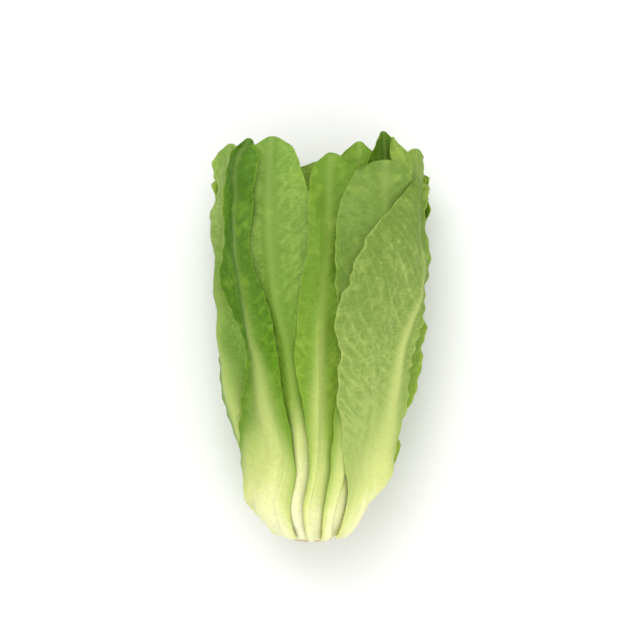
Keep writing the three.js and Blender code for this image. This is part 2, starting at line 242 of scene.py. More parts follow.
# Shares of the relief's height, and for each kind how often it turns from vein to vein and how wide it is.
reliefForm = {
    "ribClear": 1.3,
    "smoothTo": 0.12,
    "fullFrom": 0.38,
    "ridge": 0.22,
    "ridgeRate": 0.8,
    "ridgeWidth": 16,
    "crease": 0.34,
    "creaseRate": 2.3,
    "creaseWidth": 5,
    "wrinkle": 0.2,
    "wrinkleRate": 4.7,
    "wrinkleWidth": 2.6,
    "swell": 0.24,
    "swellRate": 9,
    "swellWidth": 17,
}


# Relief of both faces, from 0 to 1: ridges on the veins that come and go, creases of two sizes of noise
# that run with the veins, and slow swells. It fades out on the rib and on the pale base.
def relief(leaf, u, v, distance, phase):
    form = reliefForm
    rib = form["ribClear"] * along(leaf["ribHalfWidth"], u)
    blade = ease(u, form["smoothTo"], form["fullFrom"]) * (1 - np.exp(-((distance / rib) ** 2)))
    seed = leaf["phase"] + np.sign(v)
    ridge = (0.5 + 0.5 * np.cos(2 * np.pi * phase)) ** 2
    strong = 0.5 + 0.5 * roam(form["ridgeRate"] * phase, distance / form["ridgeWidth"], seed)
    crease = 1 - np.abs(roam(form["creaseRate"] * phase, distance / form["creaseWidth"], seed + 1))
    wrinkle = 1 - np.abs(roam(form["wrinkleRate"] * phase, distance / form["wrinkleWidth"], seed + 2))
    swell = 0.5 + 0.5 * roam(form["swellRate"] * u, distance / form["swellWidth"], seed + 5)
    height = form["ridge"] * ridge * strong + form["crease"] * crease**2
    height = height + form["wrinkle"] * wrinkle**2 + form["swell"] * swell
    return blade * height


bladeForm = {
    "crowding": 1.3,  # how much closer the columns stand at the margins
    "waveSlant": 1.3,
    "frillDrift": 0.4,
    "frillDriftRate": 11,
    "frillSlant": 4,
    "frillFrom": 0.1,
    "frillFull": 0.3,
    "footRound": 13,  # over how many millimetres the rib rounds off at its foot
    "thicker": 0.35,  # what the middle has over the margin
    "uvUnit": 100,  # millimetres
}


# The blade's two faces: the inner lies at its ring's depth or on what is under it, whichever is further
# out; margins lift and ruffle with the cube of v, and the right one flares with its eighth power; the
# outer adds the thickness and the round rib.
def bladeFaces(leaf, cells):
    form = bladeForm
    crowding = form["crowding"]
    u = np.linspace(0, 1, leaf["rows"])[:, None]
    v = np.sin(np.linspace(-crowding, crowding, leaf["columns"]))[None, :] / math.sin(crowding)
    past = np.clip((u - leaf["tipFrom"]) / (1 - leaf["tipFrom"]), 0, 1)
    length = leaf["end"] - leaf["start"]
    half = spread(leaf, u, v)
    azimuth = along(leaf["rib"], u) + v * half
    side = leaf["start"] + length * u - leaf["tipBow"] * past**2 * v**2
    e = envelopeAt(side)
    distance = np.abs(v) * half * np.pi * (e["halfWidth"] + e["halfDepth"]) / 360
    turn = np.where(v < 0, 1, 2) * leaf["phase"]
    wave = np.sin(2 * np.pi * (leaf["waves"] * u + turn) + form["waveSlant"] * v)
    drift = form["frillDrift"] * np.sin(form["frillDriftRate"] * u)
    frill = np.sin(2 * np.pi * (leaf["frills"] * u + drift + 3 * turn) + form["frillSlant"] * v)
    frilled = ease(u, form["frillFrom"], form["frillFull"])
    lift = np.where(v < 0, along(leaf["liftLeft"], u), along(leaf["liftRight"], u))
    flare = np.where(v > 0, along(leaf["flareRight"], u) * v**8, 0)
    wanted = -along(leaf["depth"], u) + np.abs(v) ** 3 * (lift + along(leaf["ruffle"], u) * wave) + flare
    phase = veinPhase(leaf, u, distance, v)
    raised = relief(leaf, u, v, distance, phase)
    margin = np.abs(v) ** 6 * leaf["frill"] * frilled * (1 + frill)
    under = readMap(bridged(cells, leaf["stiffness"]), azimuth, side) + leaf["gap"]
    inner = softMax(wanted, under, head["drapeWidth"]) + leaf["pucker"] * raised + margin
    fromFull = 1 - np.clip(u * length / form["footRound"], 0, 1)
    across = distance / along(leaf["ribHalfWidth"], u)
    rib = along(leaf["ribHeight"], u) * np.sqrt((1 - fromFull**2) * (1 - v * v)) * np.exp(-(across**2))
    thick = leaf["margin"] + (1 - v * v) * form["thicker"] + rib
    outer = np.minimum(inner + thick, tableHeight(azimuth, side))
    coverMap(cells, azimuth, side, outer)
    flat = np.ones_like(azimuth)
    return {
        "outer": place(azimuth, side, outer),
        "inner": place(azimuth, side, inner),
        "vein": phase * flat,
        "raised": raised * flat,
        "rise": side / head["side"][-1] * flat,
        "rib": np.exp(-((distance / (along(leaf["ribHalfWidth"], u) * leaf["ribPaint"])) ** 2)) * flat,
        "edge": np.abs(v) * flat,
        "lined": leaf["lined"],
        "uv": np.stack([side * flat, np.sign(v) * distance * flat], axis=-1) / form["uvUnit"],
    }


# The faces of a closed shell from two facing grids of points: outer, inner turned over, and four strips.
def shellQuads(rows, columns):
    index = np.arange(rows * columns).reshape(rows, columns)
    back = index + rows * columns

    def strip(a, b, c, d):
        return np.stack([a.ravel(), b.ravel(), c.ravel(), d.ravel()], axis=1)

    front = strip(index[:-1, :-1], index[:-1, 1:], index[1:, 1:], index[1:, :-1])
    behind = strip(back[:-1, :-1], back[1:, :-1], back[1:, 1:], back[:-1, 1:])
    left = strip(index[:-1, 0], index[1:, 0], back[1:, 0], back[:-1, 0])
    right = strip(index[:-1, -1], back[:-1, -1], back[1:, -1], index[1:, -1])
    base = strip(index[0, :-1], back[0, :-1], back[0, 1:], index[0, 1:])
    tip = strip(index[-1, :-1], index[-1, 1:], back[-1, 1:], back[-1, :-1])
    return np.concatenate([front, behind, left, right, base, tip])


# New data as an object of the scene.
def added(name, data):
    made = bpy.data.objects.new(name, data)
    bpy.context.scene.collection.objects.link(made)
    return made


# A smooth object from points in millimetres and lists of corners.
def smoothObject(name, points, faces):
    mesh = bpy.data.meshes.new(name)
    mesh.from_pydata((points * metre).tolist(), [], faces)
    mesh.polygons.foreach_set("use_smooth", np.ones(len(faces), bool))
    mesh.update()
    return added(name, mesh)


# One object from shells: points, quads, UV and the values that the finishes read.
def shellObject(name, shells):
    points, quads, uvs = [], [], []
    values = {"vein": [], "raised": [], "rise": [], "rib": [], "edge": [], "within": []}
    start = 0
    for shell in shells:
        rows, columns = shell["outer"].shape[:2]
        points += [shell["outer"].reshape(-1, 3), shell["inner"].reshape(-1, 3)]
        quads.append(shellQuads(rows, columns) + start)
        uvs += [shell["uv"].reshape(-1, 2)] * 2
        for key in ("vein", "raised", "rise", "rib", "edge"):
            values[key] += [shell[key].ravel()] * 2
        values["within"] += [np.full(rows * columns, shell["lined"]), np.ones(rows * columns)]
        start += 2 * rows * columns
    faces = np.concatenate(quads)
    made = smoothObject(name, np.concatenate(points), faces.tolist())
    layer = made.data.uv_layers.new(name="UVMap")
    layer.data.foreach_set("uv", np.concatenate(uvs)[faces.ravel()].ravel())
    for key, parts in values.items():
        attribute = made.data.attributes.new(key, "FLOAT", "POINT")
        attribute.data.foreach_set("value", np.concatenate(parts).astype(np.float32))
    return made


# Gives a piece its finish and its place on the body, and hides the node that it stands for.
def finished(piece, node, material):
    piece.data.materials.append(material)
    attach(piece, "root")
    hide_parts(node)
    return piece


# A wire is a node's output that can be added, multiplied and so on in a formula.
class Wire:
    def __init__(self, recipe, socket):
        self.recipe = recipe
        self.socket = socket

    def maths(self, operation, first, second=0.0):
        return self.recipe.node("ShaderNodeMath", {"operation": operation}, {0: first, 1: second})

    def __add__(self, other):
        return self.maths("ADD", self, other)

    def __radd__(self, other):
        return self.maths("ADD", other, self)

    def __sub__(self, other):
        return self.maths("SUBTRACT", self, other)

    def __rsub__(self, other):
        return self.maths("SUBTRACT", other, self)

    def __mul__(self, other):
        return self.maths("MULTIPLY", self, other)

    def __rmul__(self, other):
        return self.maths("MULTIPLY", other, self)

    def __abs__(self):
        return self.maths("ABSOLUTE", self)


class Recipe:
    def __init__(self, name):
        self.material = bpy.data.materials.new(name)
        self.material.use_nodes = True
        self.tree = self.material.node_tree
        self.tree.nodes.clear()

    # Any node: its settings first, then a value or a wire for each socket that is named or numbered.
    def node(self, kind, settings=None, sockets=None, output=0):
        made = self.tree.nodes.new(kind)
        for key, value in (settings or {}).items():
            if key == "stops":
                ramp = made.color_ramp
                while len(ramp.elements) < len(value):
                    ramp.elements.new(0.5)
                for element, (position, colour) in zip(ramp.elements, value):
                    element.position = position
                    element.color = colour
            else:
                setattr(made, key, value)
        for key, value in (sockets or {}).items():
            if isinstance(value, Wire):
                self.tree.links.new(value.socket, made.inputs[key])
            else:
                made.inputs[key].default_value = value
        return Wire(self, made.outputs[output]) if len(made.outputs) else None

    # One of the values kept on the mesh's points.
    def value(self, name):
        return self.node("ShaderNodeAttribute", {"attribute_name": name}, output="Fac")

    # Eases from 0 to 1 as the value goes from low to high.
    def eased(self, value, low, high):
        sockets = {0: value, 1: low, 2: high, 3: 0.0, 4: 1.0}
        return self.node("ShaderNodeMapRange", {"interpolation_type": "SMOOTHSTEP"}, sockets)

    # The first colour with a share of the second over it.
    def mixed(self, share, first, second):
        sockets = {0: share, 6: first, 7: second}
        return self.node("ShaderNodeMix", {"data_type": "RGBA"}, sockets, output=2)

    # A place on the UV map stretched by a factor each way.
    def stretched(self, factors):
        place = self.node("ShaderNodeTexCoord", output="UV")
        return self.node("ShaderNodeMapping", sockets={"Vector": place, "Scale": factors})

    def noise(self, where, scale, detail):
        sockets = {"Vector": where, "Scale": scale, "Detail": detail, "Roughness": 0.55}
        return self.node("ShaderNodeTexNoise", sockets=sockets, output="Fac")

    # A height from 0 to 1 as a bump of so many metres.
    def bumped(self, strength, distance, height):
        sockets = {"Strength": strength, "Distance": distance, "Height": height}
        return self.node("ShaderNodeBump", sockets=sockets)

    def surface(self, sockets):
        shader = self.node("ShaderNodeBsdfPrincipled", sockets=sockets)
        self.node("ShaderNodeOutputMaterial", sockets={"Surface": shader})
        return self.material


# A colour given in screen values 0 to 255, as the light it stands for.
def paint(red, green, blue):
    tone = [c / 255 for c in (red, green, blue)]
    return tuple(c / 12.92 if c <= 0.04045 else ((c + 0.055) / 1.055) ** 2.4 for c in tone) + (1.0,)


# What all blades share: noise scales, then the share of each tone, then how the surface takes the light.
bladeFinish = {
    "blotchScale": 34.0,
    "patchScale": 90.0,
    "grainScale": 420.0,
    "streakScale": (1.6, 34.0, 1.0),  # along the leaf, then across it
    "crinkleScale": (52.0, 24.0, 1.0),
    "wander": 0.1,  # how far blotches and streaks move the green
    "lining": 0.25,
    # The share of painted light along the thin margin.
    "marginLight": 0.3,
    "grain": 0.08,
    # The share of painted shade in the troughs of the fine crinkle.
    "crinkle": 0.36,
    "patch": 0.22,
    "bump": 0.5,
    "bumpHeight": 0.0007,
    "roughness": 0.52,
    "subsurface": 0.3,
    "subsurfaceRadius": (0.8, 1.0, 0.25),
    "subsurfaceScale": 0.003,
    "specular": 0.14,
}


# Leaf: pale at the base, greening towards the tip and the margins, with painted shade in the hollows of its
# relief and painted light on its ridges, which also carry its pale veins; a pale rib, faint veins that come
# and go, streaks along the rib, soft blotches, painted light along the thin margin, painted shade on the left
# half where the look asks for it, and a fine crinkle across the blade with painted shade in its troughs.
def leafFinish(look):
    r = Recipe(look["name"])
    own = bladeFinish
    rise, rib, edge, within, raised = (r.value(key) for key in ("rise", "rib", "edge", "within", "raised"))
    body = r.node("ShaderNodeTexCoord", output="Object")
    across = r.node("ShaderNodeSeparateXYZ", sockets={0: r.node("ShaderNodeTexCoord", output="UV")}, output=1)
    phase = r.value("vein")
    near = abs(r.node("ShaderNodeMath", {"operation": "FRACT"}, {0: phase}) - 0.5) * 2
    blotch = r.noise(body, own["blotchScale"], 3.0)
    patch = r.noise(body, own["patchScale"], 2.0)
    grain = r.noise(body, own["grainScale"], 2.0)
    streak = r.noise(r.stretched(own["streakScale"]), 1.0, 3.0)
    crinkle = r.noise(r.stretched(own["crinkleScale"]), 1.0, 3.0)
    blade = r.eased(rise, 0.1, 0.4)
    thin = r.eased(rise, 0.25, 0.5) * (1 - rib)
    wane = 1 - r.eased(rise, look["ribWanes"], look["ribWanes"] + 0.35) * 0.85
    green = rise + edge * edge * look["edgeGreen"]
    green = green + (blotch - 0.5) * own["wander"] + (streak - 0.5) * own["wander"]
    colour = r.node("ShaderNodeValToRGB", {"stops": look["stops"]}, {0: green})
    # Painted shade: the blade's left half is darkened towards the deep tone.
    colour = r.mixed(r.eased(across, 0.03, -0.03) * blade * look["leftDeep"], colour, look["deep"])
    # Painted shade: the hollows of the relief are darkened towards the deep tone.
    colour = r.mixed((1 - r.eased(raised, 0.15, 0.6)) * blade * look["hollow"], colour, look["deep"])
    # The relief's ridges are lightened towards the vein tone: pale veins, and painted light on the raised
    # parts.
    colour = r.mixed(r.eased(raised, 0.5, 0.85) * blade * look["veinShow"], colour, look["vein"])
    line = r.eased(near, 0.84, 0.99) * blade * (1 - edge * 0.7) * (r.eased(patch, 0.3, 0.65) * 0.7 + 0.3)
    line = line * (1 - r.eased(rise, 0.55, 0.8) * 0.5)
    colour = r.mixed(line * look["veinShow"], colour, look["vein"])
    colour = r.mixed(rib * look["ribShow"] * wane, colour, look["rib"])
    colour = r.mixed(within * blade * own["lining"], colour, look["lining"])
    # Painted light: a thin lighter line along the margin, for light through the thin edge.
    colour = r.mixed(r.eased(edge, 0.955, 1.0) * blade * own["marginLight"], colour, look["vein"])
    colour = r.mixed(r.eased(grain, 0.35, 0.7) * own["grain"], colour, look["deep"])
    # Painted shade: the troughs of the fine crinkle are darkened towards the deep tone.
    colour = r.mixed(r.eased(crinkle, 0.58, 0.3) * thin * own["crinkle"], colour, look["deep"])
    colour = r.mixed(r.eased(patch, 0.5, 0.75) * blade * own["patch"], colour, look["vein"])
    height = line * 0.4 + streak * (1 - blade) * 0.6 + grain * 0.12 + patch * 0.5 + crinkle * thin * 1.6
    return r.surface(
        {
            "Base Color": colour,
            "Roughness": own["roughness"] + (blotch - 0.5) * 0.2 - rib * 0.06,
            "Normal": r.bumped(own["bump"], own["bumpHeight"], height),
            "Subsurface Weight": own["subsurface"],
            "Subsurface Radius": own["subsurfaceRadius"],
            "Subsurface Scale": own["subsurfaceScale"],
            "Specular IOR Level": own["specular"],
        }
    )


baseStops = [(0.06, paint(255, 253, 230)), (0.12, paint(244, 241, 200)), (0.22, paint(205, 215, 132))]
tipAt = 0.78  # where the ramp reaches the tip's green
veinLight = (214, 224, 130)
plainLook = {
    "edgeGreen": 0.14,
    # The share of painted shade in the relief's hollows.
    "hollow": 0.4,
    # The share of the pale veins, and of painted light on the relief's ridges.
    "veinShow": 0.17,
    "ribShow": 0.55,
    "ribWanes": 0.3,
    # The share of painted shade on the blade's left half.
    "leftDeep": 0.0,
    "rib": paint(216, 222, 140),
    "lining": paint(160, 186, 84),
}


# The ramp's two upper colours are the leaf's own, pale is how far its pale base reaches, greenAt is how
# far on the green is full, and deep is the dark tone of its painted shade in the hollows, in the crinkle's
# troughs and on the left half, and of its grain.
def leafLook(name, middle, tip, deep, pale=1.0, greenAt=0.4, **more):
    stops = [(place * pale, tone) for place, tone in baseStops]
    stops += [(greenAt * pale, paint(*middle)), (tipAt, paint(*tip))]
    light = [0.6 * a + 0.4 * b for a, b in zip(middle, veinLight)]
    return {**plainLook, "name": name, "stops": stops, "deep": paint(*deep), "vein": paint(*light), **more}


# What a leaf is unless its own dictionary says otherwise: millimetres along its side and away from the
# envelope, degrees to the left and right of its rib; each list runs evenly from the foot to the tip.
plainLeaf = {
    "depth": [13, 8.5, 6.5, 5, 4, 3.5, 3, 2.5, 2],
    "ribHeight": [6.5, 6.2, 4.6, 3.4, 2.6, 2, 1.3, 0.8, 0.3],
    "ribPaint": 0.65,
    "liftLeft": [0, 0, 1, 2, 2],
    "liftRight": [0, 0, 1, 2, 2],
    "ruffle": [0, 0.3, 1, 2, 2],
    "flareRight": [0, 0],
    "waves": 5,
    "scallop": 0.04,
    "lobes": 11,
    "lobeDepth": 0.02,
    "wander": 0.05,
    "crinkle": 0.02,
    "frills": 23,
    "frill": 0.5,
    "gap": 0.35,
    "stiffness": 2,  # over how many cells it bridges what is under it
    "margin": 0.5,
    "tipFrom": 0.7,
    "tipBlunt": 0.16,
    "tipBow": 5,
    "veinSpacing": 9,
    "veinClimb": [1.8, 1.3, 1.1, 1.1],
    "pucker": 1.25,
    "lined": 0.0,
    "rows": 160,
    "columns": 84,
    "slot": "outer_leaf",
}

innerLeaf = {
    **plainLeaf,
    "left": [24, 30, 38, 44, 34],
    "right": [24, 30, 38, 44, 34],
    "depth": [26, 21, 17, 14, 11],
    "ribHeight": [3.5, 3, 2, 1, 0.3],
    "ribHalfWidth": [11, 8, 5, 3, 2],
    "ruffle": [0, 0.3, 0.7, 1.2, 1.6],
    "rows": 110,
    "columns": 60,
    "slot": "inner_leaf",
}

middleLeaf = {
    **plainLeaf,
    "left": [26, 32, 40, 44, 38],
    "right": [26, 32, 40, 44, 38],
    "ribHeight": [6.5, 6, 4.5, 3.2, 2.4, 1.8, 1.2, 0.7, 0.3],
    "ribHalfWidth": [14, 11, 6, 4, 3],
    "slot": "middle_leaf",
}

covered = bareMap()

heart = {
    "leaves": 6,
    "firstTurn": 70,
    "turn": 137.5,
    "twist": (0, 4, 8, 10, 12),
    "start": 84,
    "startStep": -4,
    "end": 196,
    "endStep": 8,
    "depth": [36, 30, 28, 25, 21],
    "phaseStep": 0.17,
}
heartLeaf = {
    **plainLeaf,
    "left": [40, 46, 54, 56, 44],
    "right": [40, 46, 54, 56, 44],
    "ribHeight": [2.2, 2, 1.4, 0.8, 0.2],
    "ribHalfWidth": [7, 5, 4, 3, 2],
    "ruffle": [0, 0.4, 1, 1.4, 1.4],
    "rows": 60,
    "columns": 40,
}
heartLook = leafLook("heart leaf", (200, 214, 112), (176, 200, 90), (150, 180, 70), ribShow=0.6)


shells = []
for i in range(heart["leaves"]):
    leaf = {
        **heartLeaf,
        "start": heart["start"] + heart["startStep"] * i,
        "end": heart["end"] + heart["endStep"] * i,
        "rib": [heart["firstTurn"] + heart["turn"] * i + twist for twist in heart["twist"]],
        "depth": [depth - i for depth in heart["depth"]],
        "phase": heart["phaseStep"] * i,
    }
    shells.append(bladeFaces(leaf, covered))
heartPiece = shellObject("heart_leaves", shells)
finished(heartPiece, "heart", leafFinish(heartLook))
print("heart:", heart["leaves"], "leaves")


# A leaf from its blade, and from the folded piece of its margin where it has one.
def makeLeaf(leaf, *folds):
    shells = [bladeFaces(part, covered) for part in (leaf, *folds)]
    made = shellObject(leaf["node"] + "_blade", shells)
    return finished(made, leaf["node"], leafFinish(leaf["look"]))


innerBackRight = {
    **innerLeaf,
    "node": "leaf_inner_back_right",
    "start": 48,
    "end": 262,
    "rib": [150, 148, 145, 142, 138],
    "phase": 0.5,
    "look": leafLook("inner back right leaf", (160, 188, 70), (120, 152, 44), (92, 126, 26)),
}
makeLeaf(innerBackRight)

innerBackLeft = {
    **innerLeaf,
    "node": "leaf_inner_back_left",
    "start": 46,
    "end": 256,
    "rib": [-138, -138, -136, -134, -130],
    "phase": 0.2,
    "look": leafLook("inner back left leaf", (160, 188, 70), (120, 152, 44), (92, 126, 26)),
}
makeLeaf(innerBackLeft)

innerRight = {
    **innerLeaf,
    "node": "leaf_inner_right",
    "start": 44,
    "end": 272,
    "rib": [92, 88, 82, 76, 72],
    "left": [24, 30, 34, 32, 26],
    "right": [24, 30, 36, 34, 28],
    "depth": [26, 20, 14, 9, 4],
    "liftRight": [0, 0, 1, 2, 3],
    "phase": 0.8,
    "waves": 6,
    "tipFrom": 0.84,
    "tipBlunt": 0.7,
    "look": leafLook("inner right leaf", (156, 184, 74), (131, 157, 68), (104, 136, 36)),
}
makeLeaf(innerRight)

innerFrontLeft = {
    **innerLeaf,
    "node": "leaf_inner_front_left",
    "start": 42,
    "end": 262,
    "rib": [-68, -64, -56, -50, -48],
    "phase": 0.4,
    "look": leafLook("inner front left leaf", (152, 184, 62), (116, 150, 42), (92, 126, 26)),
}
makeLeaf(innerFrontLeft)

innerFront = {
    **innerLeaf,
    "node": "leaf_inner_front",
    "start": 42,
    "end": 276,
    "rib": [4, 6, 12, 20, 26],
    "left": [24, 28, 34, 30, 20],
    "right": [24, 28, 32, 26, 16],
    "phase": 0.9,
    "tipBlunt": 0.35,
    "look": leafLook("inner front leaf", (152, 184, 62), (116, 150, 50), (92, 126, 26)),
}
makeLeaf(innerFront)

innerFrontRight = {
    **innerLeaf,
    "node": "leaf_inner_front_right",
    "start": 40,
    "end": 283,
    "rib": [34, 34, 37, 40, 42],
    "left": [24, 30, 32, 23, 15],
    "right": [24, 30, 30, 19, 13],
    "depth": [24, 18, 13, 9, 7],
    "phase": 0.65,
    "waves": 6,
    "tipBlunt": 0.35,
    "look": leafLook("inner front right leaf", (130, 162, 50), (78, 114, 12), (48, 78, 6)),
}
foldedMargin = {
    **innerFrontRight,
    "start": 238,
    "end": 279,
    "rib": [50, 48, 45],
    "left": [6, 7, 5],
    "right": [8, 9, 5],
    "depth": [5, 4, 3],
    "ribHeight": [0.3, 0.3, 0.2],
    "ruffle": [0, 0.5, 1],
    "phase": 0.2,
    "waves": 1,
    "lobes": 2,
    "frills": 4,
    "frill": 0.2,
    "wander": 0.02,
    "crinkle": 0.01,
    "pucker": 0.4,
    "tipFrom": 0.5,
    "rows": 40,
    "columns": 40,
    "lined": 2.0,  # how strongly its lining shows
}
makeLeaf(innerFrontRight, foldedMargin)
print("inner leaves laid")

backInner = {
    **middleLeaf,
    "node": "leaf_back_inner",
    "start": 36,
    "end": 266,
    "rib": [-172, -172, -174, -176, -178],
    "depth": [15, 12, 10, 8, 6],
    "ribHeight": [5, 3.5, 2, 1, 0.3],
    "phase": 0.3,
    "look": leafLook("back inner leaf", (142, 174, 54), (104, 140, 36), (74, 112, 20)),
}
makeLeaf(backInner)

frontLeft = {
    **middleLeaf,
    "node": "leaf_front_left",
    "slot": "outer_leaf",
    "start": 6,
    "end": 279,
    "rib": [-16, -16, -15, -16, -19, -26, -29, -29, -28],
    "left": [18, 15, 12, 12, 14, 14, 14, 12, 20],
    "right": [16, 16, 16, 16, 18, 24, 30, 26, 22],
    "depth": [12, 9.5, 8.5, 7, 6, 5.5, 5, 4.5, 4],
    "ribHeight": [4.5, 4.5, 4, 3.2, 2.4, 1.8, 1.2, 0.7, 0.3],
    "ribHalfWidth": [9, 7, 4, 4, 3],
    "phase": 0.75,
    "tipBlunt": 0.42,
    "look": leafLook(
        "front left leaf",
        (120, 157, 38),
        (129, 160, 70),
        (78, 116, 20),
        pale=1.3,
        greenAt=0.28,
        ribShow=0.45,
        ribWanes=0.16,
    ),
}
makeLeaf(frontLeft)

centre = {
    **middleLeaf,
    "node": "leaf_centre",
    "start": 5,
    "end": 268,
    "rib": [2, 1, 0, 0, 1, 2, 4, 5, 6],
    "left": [8, 7, 7, 10, 15, 13, 11, 12, 18],
    "right": [24, 23, 22, 22, 26, 29, 32, 31, 30],
    "depth": [10.5, 8, 7.5, 7.5, 7, 6.5, 6, 6, 6],
    "ribHeight": [4.5, 4.5, 4, 3.2, 2.4, 1.8, 1.2, 0.7, 0.3],
    "ribHalfWidth": [9, 8, 6, 4, 3],
    "phase": 0.9,
    "tipBlunt": 0.3,
    "look": leafLook("centre leaf", (136, 170, 48), (112, 146, 44), (84, 122, 24), pale=0.8),
}
makeLeaf(centre)

rightBack = {
    **middleLeaf,
    "node": "leaf_right_back",
    "start": 6,
    "end": 260,
    "rib": [121, 120, 118, 114, 110],
    "left": [22, 26, 46, 52, 50, 45, 36, 30, 28],
    "right": [20, 28, 32, 32, 28],
    "depth": [13, 8, 6, 5, 4, 3, 2, 2, 2],
    "liftLeft": [0, 0, 0, 0, 1],
    "liftRight": [0, 0, 0, 0, 0],
    "ruffle": [0, 1, 1, 2, 2],
    "waves": 7,
    "phase": 0.15,
    "look": leafLook("right back leaf", (132, 168, 46), (112, 148, 42), (80, 118, 24), pale=0.55),
}
makeLeaf(rightBack)

leftBack = {
    **middleLeaf,
    "node": "leaf_left_back",
    "start": 6,
    "end": 256,
    "rib": [-118, -118, -118, -117, -116, -114, -112, -109, -106],
    "left": [31, 34, 40, 40, 36],
    "right": [30, 40, 58, 60, 50, 38, 34, 32, 30],
    "depth": [13, 8, 2, 0, 3, 4.5, 4, 4, 4],
    "liftRight": [0, 0, 0, 0, 1],
    "ruffle": [0, 0.5, 1, 2, 2],
    "phase": 0.55,
    "waves": 7,
    "scallop": 0.06,
    "lobeDepth": 0.05,
    "look": leafLook("left back leaf", (110, 156, 22), (100, 142, 26), (70, 110, 12), pale=0.5),
}
makeLeaf(leftBack)

leftSide = {
    **middleLeaf,
    "node": "leaf_left_side",
    "start": 40,
    "end": 275,
    "rib": [-64, -60, -58, -67, -75, -74, -68, -64, -62],
    "left": [18, 20, 17, 19, 28, 28, 26, 20, 24],
    "right": [16, 16, 18, 28, 38, 32, 24, 20, 28],
    "depth": [21, 14, 9, 7, 6, 5.5, 5, 4.5, 4],
    "ribHeight": [2.5, 2.8, 3, 3, 2.4, 1.8, 1.2, 0.7, 0.3],
    "phase": 0.7,
    "waves": 6,
    "tipBlunt": 0.4,
    "look": leafLook("left side leaf", (102, 149, 14), (138, 162, 86), (74, 114, 16), pale=0.6),
}
makeLeaf(leftSide)

centreRight = {
    **middleLeaf,
    "node": "leaf_centre_right",
    "start": 6,
    "end": 263,
    "rib": [29, 26, 22, 22, 26, 30, 33, 35, 36],
    "left": [13, 12, 11, 11, 13, 20, 24, 24, 20],
    "right": [22, 25, 36, 58, 50, 57, 56, 54, 35, 27, 22, 20, 18],
    "depth": [11, 8.5, 7.5, 7, 6, 5.5, 5, 4.5, 4],
    "ribHeight": [4.5, 4.5, 4, 3.2, 2.4, 1.8, 1.2, 0.7, 0.3],
    "ribHalfWidth": [12, 10, 6, 4, 3],
    "liftRight": [5, 4, 1, 1, 1, 1.5, 2, 2, 2],
    "flareRight": [0, 0, 1, 10, 5, 8, 7.5, 7, 2, 0, 0, 0, 0],
    "phase": 0.35,
    "waves": 11,
    "lobes": 12,
    "lobeDepth": 0.05,
    "tipFrom": 0.86,
    "tipBlunt": 0.6,
    "look": leafLook("centre right leaf", (138, 170, 56), (118, 146, 64), (88, 122, 34), pale=0.9),
}
makeLeaf(centreRight)
print("middle leaves laid")

back = {
    **plainLeaf,
    "node": "leaf_back",
    "start": 9,
    "end": 262,
    "rib": [175, 175, 177, 180, 182],
    "left": [28, 34, 44, 48, 40],
    "right": [30, 34, 44, 48, 40],
    "depth": [17, 6, 3, 3, 2],
    "ribHeight": [8, 5, 4, 2.5, 0.3],
    "ribHalfWidth": [19, 13, 11, 7, 3],
    "phase": 0.6,
    "waves": 4,
    "look": leafLook("back leaf", (112, 150, 44), (90, 128, 36), (62, 102, 20)),
}
makeLeaf(back)

leftFront = {
    **plainLeaf,
    "node": "leaf_left_front",
    "start": 9,
    "end": 278,
    "rib": [-52, -45, -38, -37, -38, -43, -48, -49, -43],
    "left": [42, 40, 36, 23, 16, 12, 9, 16, 22, 15.6, 10.2, 15.4, 18],
    "right": [29, 29, 25, 19, 16, 14, 13.5, 13, 10, 9.3, 13.7, 17, 20],
    "ribHeight": [8, 7.5, 5, 3.4, 2.6, 2, 1.3, 0.8, 0.3],
    "ribHalfWidth": [25, 17, 6, 4, 3],
    "phase": 0.25,
    "tipBlunt": 0.28,
    "rows": 190,
    "columns": 96,
    # Its left half takes painted shade.
    "look": leafLook("left front leaf", (110, 156, 10), (82, 123, 26), (44, 84, 2), leftDeep=0.3),
}
makeLeaf(leftFront)

rightFront = {
    **plainLeaf,
    "node": "leaf_right_front",
    "start": 9,
    "end": 253,
    "rib": [68, 65, 57, 54, 54, 60, 72, 69, 58],
    "left": [28, 30, 37, 40, 43, 50, 56, 40, 13],
    "right": [27, 23, 13, 12, 11, 10, 10, 9, 19],
    "ribHalfWidth": [22, 11, 4.5, 3.4, 2.6],
    "ribPaint": 0.8,
    "veinSpacing": 8,
    "veinClimb": [0.8, 0.65, 0.75, 1.2],
    "phase": 0.05,
    "stiffness": 3,
    "pucker": 1.7,
    "tipFrom": 0.84,
    "tipBlunt": 0.6,
    "rows": 220,
    "columns": 140,
    "look": leafLook(
        "right front leaf",
        (169, 188, 102),
        (118, 145, 62),
        (88, 122, 34),
        pale=0.9,
        # veinShow and hollow: its pale veins with painted light on the ridges, and painted shade in the
        # hollows.
        veinShow=0.5,
        hollow=0.35,
        ribShow=0.5,
        ribWanes=0.45,
    ),
}
makeLeaf(rightFront)
print("outer leaves laid")

stem = {
    "along": [1.2, 1.2, 1.2, 1.25, 1.5, 2.4, 6, 10, 24, 40, 54, 54],
    "radius": [0.0, 5.0, 9.5, 11.4, 12.2, 13, 14.4, 15, 14, 10.5, 7, 0.0],
    "rings": 90,
    "sides": 96,
    "hollow": 1.1,  # how far the cut face dishes in
    "faceSteps": 3.2,  # how many steps of the profile the cut face takes
    "faceRadius": 11.0,
    "bundles": 9,
    "bundleRise": 0.12,
    "slot": "stem",
}


# Rings of points: a profile of radii turned about the head's axis.
def turnedRings(distances, radii, sides):
    turn = np.linspace(0, 2 * np.pi, sides, endpoint=False)[None, :]
    radius = np.asarray(radii, float)[:, None]
    x = head["axisSide"][0] - head["centre"][0] + radius * np.sin(turn)
    z = head["axisHeight"][0] + radius * np.cos(turn)
    y = np.asarray(distances, float)[:, None] - head["centre"][1] + 0 * turn
    return np.stack([x, y, z], axis=-1)


